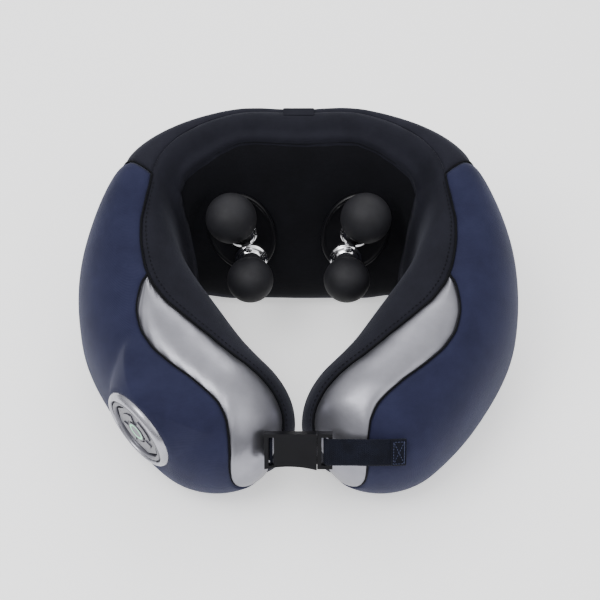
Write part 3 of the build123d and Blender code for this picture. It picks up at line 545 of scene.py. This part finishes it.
class Shader:
    """A small wrapper that makes a procedural material on the piece's own coordinates."""

    def __init__(self, name, colour, roughness, **inputs):
        self.material = bpy.data.materials.new(name)
        self.material.use_nodes = True
        self.tree = self.material.node_tree
        self.surface = self.tree.nodes["Principled BSDF"]
        self.coordinates = self.node("ShaderNodeTexCoord").outputs["Object"]
        self.set("Base Color", (*colour, 1))
        self.set("Roughness", roughness)
        for key, value in inputs.items():
            self.set(key.replace("_", " "), value)

    def node(self, kind, **settings):
        made = self.tree.nodes.new(kind)
        for key, value in settings.items():
            if key in made.inputs:
                made.inputs[key].default_value = value
            else:
                setattr(made, key, value)
        return made

    def set(self, key, value):
        self.surface.inputs[key].default_value = value

    def link(self, output, target):
        self.tree.links.new(output, target)

    def noise(self, scale, detail=3.0, roughness=0.6, stretch=None):
        made = self.node("ShaderNodeTexNoise", Scale=scale, Detail=detail, Roughness=roughness)
        source = self.coordinates
        if stretch:
            mapping = self.node("ShaderNodeMapping")
            mapping.inputs["Scale"].default_value = stretch
            self.link(source, mapping.inputs["Vector"])
            source = mapping.outputs["Vector"]
        self.link(source, made.inputs["Vector"])
        return made.outputs["Fac"]

    def vary_colour(self, factor, dark, light, low=0.35, high=0.65):
        ramp = self.node("ShaderNodeValToRGB")
        ramp.color_ramp.elements[0].position = low
        ramp.color_ramp.elements[0].color = (*dark, 1)
        ramp.color_ramp.elements[1].position = high
        ramp.color_ramp.elements[1].color = (*light, 1)
        self.link(factor, ramp.inputs["Fac"])
        self.link(ramp.outputs["Color"], self.surface.inputs["Base Color"])
        return ramp.outputs["Color"]

    def vary_roughness(self, factor, low, high):
        spread = self.node("ShaderNodeMapRange")
        spread.inputs["To Min"].default_value = low
        spread.inputs["To Max"].default_value = high
        self.link(factor, spread.inputs["Value"])
        self.link(spread.outputs["Result"], self.surface.inputs["Roughness"])

    def bump(self, factor, strength, distance, after=None):
        made = self.node("ShaderNodeBump", Strength=strength, Distance=distance)
        self.link(factor, made.inputs["Height"])
        if after is not None:
            self.link(after, made.inputs["Normal"])
        self.link(made.outputs["Normal"], self.surface.inputs["Normal"])
        return made.outputs["Normal"]

    def weave(self, pitch):
        """A fine woven height pattern: crossed waves, in the piece's own coordinates."""
        waves = []
        for direction in ("X", "Y", "Z"):
            wave = self.node("ShaderNodeTexWave", bands_direction=direction, wave_profile="SIN")
            wave.inputs["Scale"].default_value = 0.314 / pitch
            wave.inputs["Distortion"].default_value = 0.6
            wave.inputs["Detail"].default_value = 1.0
            self.link(self.coordinates, wave.inputs["Vector"])
            waves.append(wave.outputs["Fac"])
        total = waves[0]
        for other in waves[1:]:
            add = self.node("ShaderNodeMath", operation="ADD")
            self.link(total, add.inputs[0])
            self.link(other, add.inputs[1])
            total = add.outputs[0]
        return total


def knit(name, dark, light, pitch, sheen, roughness=0.85, bump=0.25):
    """Close knitted fabric with a soft nap."""
    shader = Shader(name, light, roughness, Sheen_Weight=sheen, Sheen_Roughness=0.45)
    shader.set("Sheen Tint", (0.75, 0.78, 0.95, 1))
    shader.set("Specular IOR Level", 0.14)
    shader.vary_colour(shader.noise(38, 5.0, 0.65), dark, light, 0.30, 0.70)
    coarse = shader.bump(shader.noise(190, 3.0), 0.10, 0.0009)
    shader.bump(shader.weave(pitch), bump, 0.00025, coarse)
    return shader.material


def leatherette():
    """Silver coated fabric: satin, very fine grain."""
    shader = Shader("silver_leatherette", (0.30, 0.30, 0.34), 0.36, Metallic=0.9)
    shader.set("Specular IOR Level", 0.5)
    shader.vary_colour(shader.noise(30, 4.0), (0.225, 0.225, 0.255), (0.285, 0.285, 0.320))
    shader.vary_roughness(shader.noise(260, 2.0), 0.30, 0.42)
    cells = shader.node("ShaderNodeTexVoronoi", Scale=900.0)
    shader.link(shader.coordinates, cells.inputs["Vector"])
    soft = shader.bump(shader.noise(60, 3.0), 0.06, 0.0012)
    shader.bump(cells.outputs["Distance"], 0.12, 0.0002, soft)
    return shader.material


def webbing():
    """Ribbed nylon webbing."""
    shader = Shader("navy_webbing", (0.008, 0.010, 0.022), 0.7, Sheen_Weight=0.04, Sheen_Roughness=0.4)
    shader.set("Specular IOR Level", 0.12)
    shader.vary_colour(shader.noise(120, 3.0), (0.0020, 0.0027, 0.0070), (0.0042, 0.0054, 0.0125))
    wave = shader.node("ShaderNodeTexWave", bands_direction="DIAGONAL", wave_profile="SIN")
    wave.inputs["Scale"].default_value = 330.0
    wave.inputs["Distortion"].default_value = 1.2
    shader.link(shader.coordinates, wave.inputs["Vector"])
    shader.bump(wave.outputs["Fac"], 0.45, 0.0004)
    return shader.material


def silicone():
    shader = Shader("dark_silicone", (0.009, 0.009, 0.012), 0.60)
    shader.set("Specular IOR Level", 0.32)
    shader.vary_colour(shader.noise(70, 4.0), (0.0075, 0.0075, 0.0100), (0.0120, 0.0120, 0.0155))
    shader.vary_roughness(shader.noise(240, 3.0), 0.55, 0.72)
    shader.bump(shader.noise(1400, 2.0), 0.12, 0.0001)
    return shader.material


def plastic(name, colour, roughness, grain=0.10, **inputs):
    """Moulded plastic with a fine texture and slight handling wear in its gloss."""
    shader = Shader(name, colour, roughness, **inputs)
    dark = tuple(c * 0.86 for c in colour)
    light = tuple(min(1.0, c * 1.10) for c in colour)
    shader.vary_colour(shader.noise(55, 4.0), dark, light)
    shader.vary_roughness(shader.noise(130, 4.0), max(0.03, roughness - 0.07), roughness + 0.08)
    shader.bump(shader.noise(1700, 2.0), grain, 0.00008)
    return shader.material


def metal(name, colour, roughness, brushed=0.0):
    shader = Shader(name, colour, roughness, Metallic=1.0)
    shader.vary_roughness(shader.noise(160, 3.0), roughness * 0.8, roughness * 1.4 + 0.02)
    if brushed:
        shader.bump(shader.noise(500, 2.0, stretch=(1, 1, 12)), brushed, 0.00006)
    return shader.material


def glowing():
    shader = Shader("green_light", (0.20, 0.62, 0.34), 0.35)
    shader.set("Emission Color", (0.12, 0.75, 0.32, 1))
    shader.set("Emission Strength", 0.55)
    shader.vary_colour(shader.noise(300, 2.0), (0.16, 0.55, 0.30), (0.26, 0.70, 0.42))
    return shader.material


def foam():
    shader = Shader("foam", (0.50, 0.48, 0.44), 0.95)
    cells = shader.node("ShaderNodeTexVoronoi", Scale=420.0)
    shader.link(shader.coordinates, cells.inputs["Vector"])
    shader.vary_colour(cells.outputs["Distance"], (0.30, 0.29, 0.26), (0.55, 0.53, 0.48), 0.0, 0.5)
    shader.bump(cells.outputs["Distance"], 0.5, 0.0006)
    return shader.material


MATERIALS = {
    "foam": foam(),
    "black_fabric": knit("black_knit", (0.0068, 0.0070, 0.0115), (0.0115, 0.0118, 0.0185), 0.00055, 0.09),
    "grey_fabric": knit("grey_knit", (0.0095, 0.0098, 0.0155), (0.0150, 0.0152, 0.0235), 0.00055, 0.09),
    "navy_fabric": knit("navy_knit", (0.0115, 0.0128, 0.0350), (0.0180, 0.0200, 0.0510), 0.00060, 0.13),
    "silver_leatherette": leatherette(),
    "navy_webbing": webbing(),
    "dark_silicone": silicone(),
    "black_plastic": plastic("black_plastic", (0.004, 0.004, 0.0055), 0.34, Specular_IOR_Level=0.3),
    "chrome_trim": metal("chrome_trim", (0.86, 0.86, 0.88), 0.06),
    "gear_plastic": plastic("gear_plastic", (0.72, 0.70, 0.65), 0.42),
    "shaft_steel": metal("shaft_steel", (0.55, 0.56, 0.58), 0.28, 0.2),
    "brass_gear": metal("brass_gear", (0.72, 0.55, 0.25), 0.25, 0.1),
    "battery_wrap": plastic("battery_wrap", (0.04, 0.16, 0.40), 0.25),
    "board_green": plastic("board_green", (0.02, 0.13, 0.06), 0.35),
    "heater_film": plastic("heater_film", (0.50, 0.22, 0.04), 0.22),
    "silver_plastic": plastic("silver_plastic", (0.36, 0.36, 0.40), 0.26, 0.05, Metallic=0.75),
    "grey_plastic": plastic("grey_plastic", (0.10, 0.10, 0.12), 0.30, 0.06, Metallic=0.4),
    "green_light": glowing(),
}
# Painted shade: the lining's black knit again, painted about three times darker for the recessed pocket wall.
POCKET_KNIT_PAINTED_SHADE = knit("pocket_knit_painted_shade", (0.0020, 0.0021, 0.0034), (0.0038, 0.0040, 0.0062), 0.00045, 0.04)
THREAD_DARK = knit("dark_thread", (0.0018, 0.0020, 0.0030), (0.0035, 0.0038, 0.0055), 0.0003, 0.03)
THREAD_NAVY = knit("navy_thread", (0.030, 0.036, 0.075), (0.045, 0.054, 0.110), 0.0003, 0.2)


def dress_cad_nodes():
    """Every CAD node gets the material of its slot in the record."""
    slots = {entry["node"]: entry["material_slot"] for entry in frame["record"]["subparts"]}
    for name, node in NODES.items():
        node.data.materials.clear()
        node.data.materials.append(MATERIALS[slots[name]])


# ---------------------------------------------------------------- soft pieces


def arm_places(start, end=1.0, count=90):
    """Places along an arm, closing up towards the round tip, where the section shrinks to a point."""
    reach = 1 - start
    last = np.sqrt((1 - end) / reach)
    return 1 - reach * np.linspace(1, last, count) ** 2


def pocket_side(place):
    """The pocket wall's sewn edge, over its top and corners."""
    return np.interp(np.abs(place), POCKET_EDGE[:, 0], POCKET_EDGE[:, 1])


def pocket_foot(place):
    return np.full_like(place, 236.0)


def pocket_rim(place, angle):
    """The lining swells into a soft roll around the pocket and sinks inside it."""
    over_top = np.exp(-(((angle - pocket_side(place) + 5) / 5.5) ** 2)) * (np.abs(place) < POCKET_END + 0.02)
    beside = np.exp(-(((np.abs(place) - POCKET_END - 0.018) / 0.016) ** 2)) * smooth_step(angle, 135, 158)
    inside = smooth_step(angle - pocket_side(place), -1, 2) * (np.abs(place) < POCKET_END)
    return (2.4 * np.maximum(over_top, beside) - 0.8 * inside) * (1 - smooth_step(angle, 215, 238))


def build_collar():
    """The sewn panels: lining, pocket wall, rear shell, and a navy and a silver panel on each arm."""
    half = arm_places(0, 1, 190)
    linings = ("left_arm_lining", "right_arm_lining", "rim_band")
    foams = ("back_foam", "left_arm_foam", "right_arm_foam")
    fabric_patch(
        "inner_lining", np.concatenate([-half[:0:-1], half]), lining_edge, base_inner,
        MATERIALS["black_fabric"], linings + foams, columns=84, crown=0.4, extra=pocket_rim,
    )
    fabric_patch(
        # The pocket wall wears the black knit's darker copy, which is painted shade for the recess.
        "pocket_panel", np.linspace(-POCKET_END, POCKET_END, 131), pocket_side, pocket_foot,
        POCKET_KNIT_PAINTED_SHADE, ("pocket_lining",), columns=64, lift=1.1, crown=0.2, tuck=0.4,
        thickness=0.9,
    )
    fabric_patch(
        "rear_shell", np.linspace(-REAR_END, REAR_END, 161), base_outer, lining_edge,
        MATERIALS["grey_fabric"], ("rear_cover",), columns=90, crown=0.8,
    )
    for side, name in SIDE_NAMES.items():
        fabric_patch(
            f"{name}_navy_cover", side * arm_places(REAR_END, NAVY_END, 170), base_outer, navy_top,
            MATERIALS["navy_fabric"], (f"{name}_outer_cover",), columns=90, crown=1.0,
        )
        fabric_patch(
            f"{name}_silver_crescent", side * arm_places(SILVER_START, 1, 150), silver_bottom,
            lining_edge, MATERIALS["silver_leatherette"], (f"{name}_silver_panel",),
            columns=60, crown=1.0,
        )


def build_seams():
    """Piping and stitches along the seams between the panels."""
    for side, name in SIDE_NAMES.items():
        places = side * arm_places(REAR_END, 0.999, 220)
        piping(f"{name}_lining_piping", places, lining_edge(places), 0.75)
        inner = side * arm_places(REAR_END + 0.01, 0.985, 240)
        row = lining_edge(inner) + 4.2
        line = seam_line(inner, row, 0.95)
        outward = seam_line(inner, row, 3.0) - line
        stitches(f"{name}_lining_stitches", line, outward, THREAD_DARK, "black_fabric")
        silver = side * arm_places(SILVER_START, NAVY_END, 200)
        piping(f"{name}_silver_piping", silver, silver_bottom(silver), 0.6)
        turn = np.linspace(base_outer(0) + 4, lining_edge(REAR_END), 60)
        piping(f"{name}_shoulder_seam", np.full(60, side * REAR_END), turn, 0.6)
    half = np.linspace(0, POCKET_END, 90)
    places = np.concatenate([half, np.full(39, POCKET_END)])
    angles = np.concatenate([pocket_side(half), np.linspace(pocket_side(POCKET_END), 225, 40)[1:]])
    places = np.concatenate([-places[:0:-1], places])
    angles = np.concatenate([angles[:0:-1], angles])
    piping("pocket_piping", places, angles, 0.8, lift=1.0)


def strap_surface_point(x, height_up, lift):
    """A point on the buckle's own frame: x, up the face and out of it."""
    return BUCKLE_ORIGIN + np.array([x, 0, 0]) + height_up * BUCKLE_UP + lift * BUCKLE_OUT


def build_strap(name, route, replaced, width=18.0, thickness=1.5, rib=0.09, rib_pitch=1.25):
    """Flat ribbed webbing along (x, out) points in the buckle's frame."""
    route = np.asarray(route, float)
    run = np.concatenate([[0], np.cumsum(np.linalg.norm(np.diff(route, axis=0), axis=1))])
    fine = np.linspace(0, run[-1], int(run[-1] / rib_pitch * 6) + 2)
    path = np.stack([np.interp(fine, run, route[:, k]) for k in (0, 1)], 1)
    for _ in range(30):
        path[1:-1] = (path[:-2] + 2 * path[1:-1] + path[2:]) / 4
    tangent = np.gradient(path, axis=0)
    tangent /= np.linalg.norm(tangent, axis=1, keepdims=True)
    normal = np.stack([-tangent[:, 1], tangent[:, 0]], 1)
    ribs = rib * np.sin(2 * np.pi * fine / rib_pitch)
    across = np.linspace(-width / 2, width / 2, 27)
    half_thick = thickness / 2 * np.minimum(1, np.sqrt(np.maximum(0.15, 1 - (2 * across / width) ** 16)))
    cords = 0.05 * np.cos(np.pi * (np.arange(27) % 2))
    section = [(u, h + c) for u, h, c in zip(across, half_thick, cords)]
    section += [(u, -h - c) for u, h, c in zip(across[::-1], half_thick, cords)]
    vertices = []
    for centre, out, bulge in zip(path, normal, ribs):
        for up, depth in section:
            x, lift = centre + out * (depth + np.sign(depth) * bulge)
            vertices.append(strap_surface_point(x, up, lift))
    faces = grid_faces(len(path), len(section), True)
    last = (len(path) - 1) * len(section)
    faces += [tuple(range(len(section)))[::-1], tuple(last + k for k in range(len(section)))]
    piece = new_object(name, vertices, faces)
    finish_piece(piece, "collar", MATERIALS["navy_webbing"], replaced)
    return piece


def squash_with_strap(piece):
    """Gives the loose webbing piece a mesh of its own."""
    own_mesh(piece)


def build_straps():
    """Both webbing straps, and the loose one's folded end with its crossed box of stitches."""
    route = [(17.2, -4.0), (17.2, 2.6), (19.6, 4.6), (24, 4.4), (34, 4.4), (46, 5.4), (58, 5.0), (70, 3.4)]
    squash_with_strap(build_strap("right_webbing", route, ("right_strap",)))
    squash_with_strap(build_strap("webbing_hem", [(60.5, 5.5), (70.2, 4.1)], (), thickness=1.7))
    corners = [(62, -7.4), (69, -7.4), (69, 7.4), (62, 7.4), (62, -7.4), (69, 7.4), (69, -7.4), (62, 7.4)]
    legs = []
    for (x0, up0), (x1, up1) in zip(corners, corners[1:]):
        for t in np.linspace(0, 1, 12):
            x = x0 + (x1 - x0) * t
            legs.append(strap_surface_point(x, up0 + (up1 - up0) * t, 6.35 - (x - 61) * 0.145))
    outward = np.repeat(BUCKLE_OUT[None, :], len(legs), axis=0)
    small = {"pitch": 2.0, "length": 1.4, "radius": 0.24}
    squash_with_strap(stitches("webbing_box_stitch", legs, outward, THREAD_NAVY, "navy_webbing", **small))
    build_strap("left_webbing", [(-17.8, 2.0), (-17.8, -5.5), (-21.0, -8.0)], ("left_strap",))


# ---------------------------------------------------------------- heads


def head_point(side, across, up, out):
    """A point on the pocket wall's plane near one head's axis."""
    return WALL_ORIGIN + np.array([side * HEAD_SPACING + across, 0, 0]) + up * WALL_UP + out * WALL_OUT


def ball_profile(radius, height, neck):
    """Silicone ball with a short skirt down its post, as a turned profile."""
    turn = np.linspace(np.arcsin(neck / radius), np.pi, 40)
    points = [(neck + 1.6, -height + 7.5), (neck + 0.4, -height + 9.5)]
    low = -radius * np.cos(turn[0])
    if low > -height + 10.5:
        points += [(neck, (low - height + 10) / 2)]
    points += [(radius * np.sin(t), -radius * np.cos(t)) for t in turn[:-1]]
    points.append((0.15, radius))
    return points


def head_place(side, along, out, across=0.0):
    """A point on a head: along its ball line, across it, and out from the wall, in millimetres."""
    line = side * np.sin(BALL_TILT), np.cos(BALL_TILT)
    sideways = along * line[0] + across * line[1]
    up = along * line[1] - across * line[0]
    return head_point(side, sideways, up, out)


def build_carrier(side, name):
    """Oval dish that carries both balls, with a rolled rim. Its profile is (share of size, height)."""
    rim = [(0.93, 2.9), (1.0, 3.4), (1.0, 5.0), (0.965, 5.9), (0.92, 5.8), (0.88, 4.9)]
    dish = [(0.60, 4.3), (0.30, 4.6), (0.004, 4.6)]
    profile = rounded(rim + dish, 0.6)
    segments = 96
    turn = np.linspace(0, 2 * np.pi, segments, endpoint=False)
    vertices = []
    for scale, out in profile:
        for a in turn:
            along, across = CARRIER_LENGTH * scale * np.cos(a), CARRIER_WIDTH * scale * np.sin(a)
            vertices.append(head_place(side, along, out, across))
    faces = grid_faces(len(profile), segments, True)
    faces.append(tuple(range(segments))[::-1])
    piece = new_object(f"{name}_carrier_dish", vertices, faces)
    body, slot = f"{name}_head", "black_plastic"
    finish_piece(piece, body, MATERIALS[slot], (f"{name}_head_carrier",))


# profiles of the fittings on a head, as (radius, height off the wall)
HUB = rounded([(11.2, 4.4), (11.2, 6.6), (9.8, 7.4), (9.4, 10.4), (6.8, 11.6), (2.5, 12.0), (0.1, 12.0)], 1.2)
RING = rounded([(6.0, 8.6), (9.3, 8.6), (10.0, 10.0), (9.6, 12.4), (7.5, 13.4), (6.0, 13.4)], 0.8)
SKIRT = rounded(
    [(11.8, 4.6), (11.8, 5.8), (10.2, 6.6), (9.4, 8.6), (8.0, 9.8), (6.9, 10.4), (6.2, 10.4)], 0.8
)
LOWER_POST = rounded([(7.4, 4.2), (6.8, 8.0), (6.2, 12.0), (6.0, 17.0), (5.8, 24.0)], 1.0)
UPPER_POST = LOWER_POST[:-1] + [(5.8, 15)]
# place along the ball line, ball radius, height of its centre off the wall, radius of its neck
BALLS = {"upper": (ORBIT_RADIUS, 18.0, 24.0, 9.5), "lower": (-ORBIT_RADIUS, 16.5, 36.0, 7.5)}


def build_heads():
    """Each head: carrier dish, chrome hub, two posts with their chrome fittings, and two silicone balls."""
    for side, name in SIDE_NAMES.items():
        body = f"{name}_head"
        build_carrier(side, name)
        foot = head_place(side, 0, 0)
        upper, lower = head_place(side, ORBIT_RADIUS, 0), head_place(side, -ORBIT_RADIUS, 0)
        lathe(f"{name}_chrome_hub", HUB, foot, WALL_OUT, "chrome_trim", body, replaced=(f"{name}_hub_cap",))
        for label, (reach, radius, height, neck) in BALLS.items():
            ball = ball_profile(radius, height, neck)
            centre = head_place(side, reach, height)
            lathe(
                f"{name}_{label}_silicone", ball, centre, WALL_OUT, "dark_silicone", body,
                replaced=(f"{name}_{label}_ball",),
            )
        lathe(f"{name}_chrome_ring", RING, upper, WALL_OUT, "chrome_trim", body)
        collar = (f"{name}_post_collar",)
        lathe(f"{name}_chrome_skirt", SKIRT, lower, WALL_OUT, "chrome_trim", body, replaced=collar)
        lathe(f"{name}_lower_post", LOWER_POST, lower, WALL_OUT, "black_plastic", body)
        posts = (f"{name}_ball_posts",)
        lathe(f"{name}_upper_post", UPPER_POST, upper, WALL_OUT, "black_plastic", body, replaced=posts)


# ---------------------------------------------------------------- pod


def build_pod():
    """The control pod's turned rings. The face and its keys stay as the CAD made them."""
    bezel = [(25.3, 3.1), (29.6, 3.1), (30.0, 4.2), (29.7, 6.2), (28.4, 8.0), (26.9, 8.9), (25.9, 8.7)]
    bezel += [(25.3, 7.6), (25.3, 3.3)]
    band = [(20.8, 3.1), (24.5, 3.1), (24.7, 6.6), (24.0, 7.9), (22.6, 8.3), (21.2, 7.6), (20.8, 6.4)]
    band += [(20.8, 3.3)]
    groove = [(24.2, 3.0), (25.8, 3.0), (25.8, 5.6), (24.2, 5.6), (24.2, 3.1)]
    gasket = [(29.0, 1.0), (31.6, 1.0), (31.9, 1.9), (31.2, 3.0), (30.2, 3.5), (29.0, 3.5), (29.0, 1.2)]
    for name, profile, slot, replaced in (
        ("pod_bezel_ring", rounded(bezel, 0.9), "silver_plastic", ("pod_bezel",)),
        ("pod_inner_band", rounded(band, 0.8), "grey_plastic", ("pod_inner_ring",)),
        ("pod_groove", groove, "black_plastic", ()),
        ("pod_gasket", rounded(gasket, 0.5), "black_plastic", ()),
    ):
        lathe(name, profile, POD_ORIGIN, POD_AXIS, slot, "collar", segments=160, replaced=replaced)


def soften_edges():
    """Small moulded edge radii on the hard CAD nodes that show."""
    for name in ("buckle_socket", "buckle_tongue", "pod_face", "top_label", "charge_socket"):
        bevel = NODES[name].modifiers.new("moulded_edge", "BEVEL")
        bevel.width = 0.35 * MM
        bevel.segments = 3
        bevel.limit_method = "ANGLE"
        bevel.angle_limit = np.radians(35)
        bevel.harden_normals = True


add_camera()
add_floor()
add_lights()
dress_cad_nodes()
build_collar()
build_seams()
build_straps()
build_heads()
build_pod()
soften_edges()
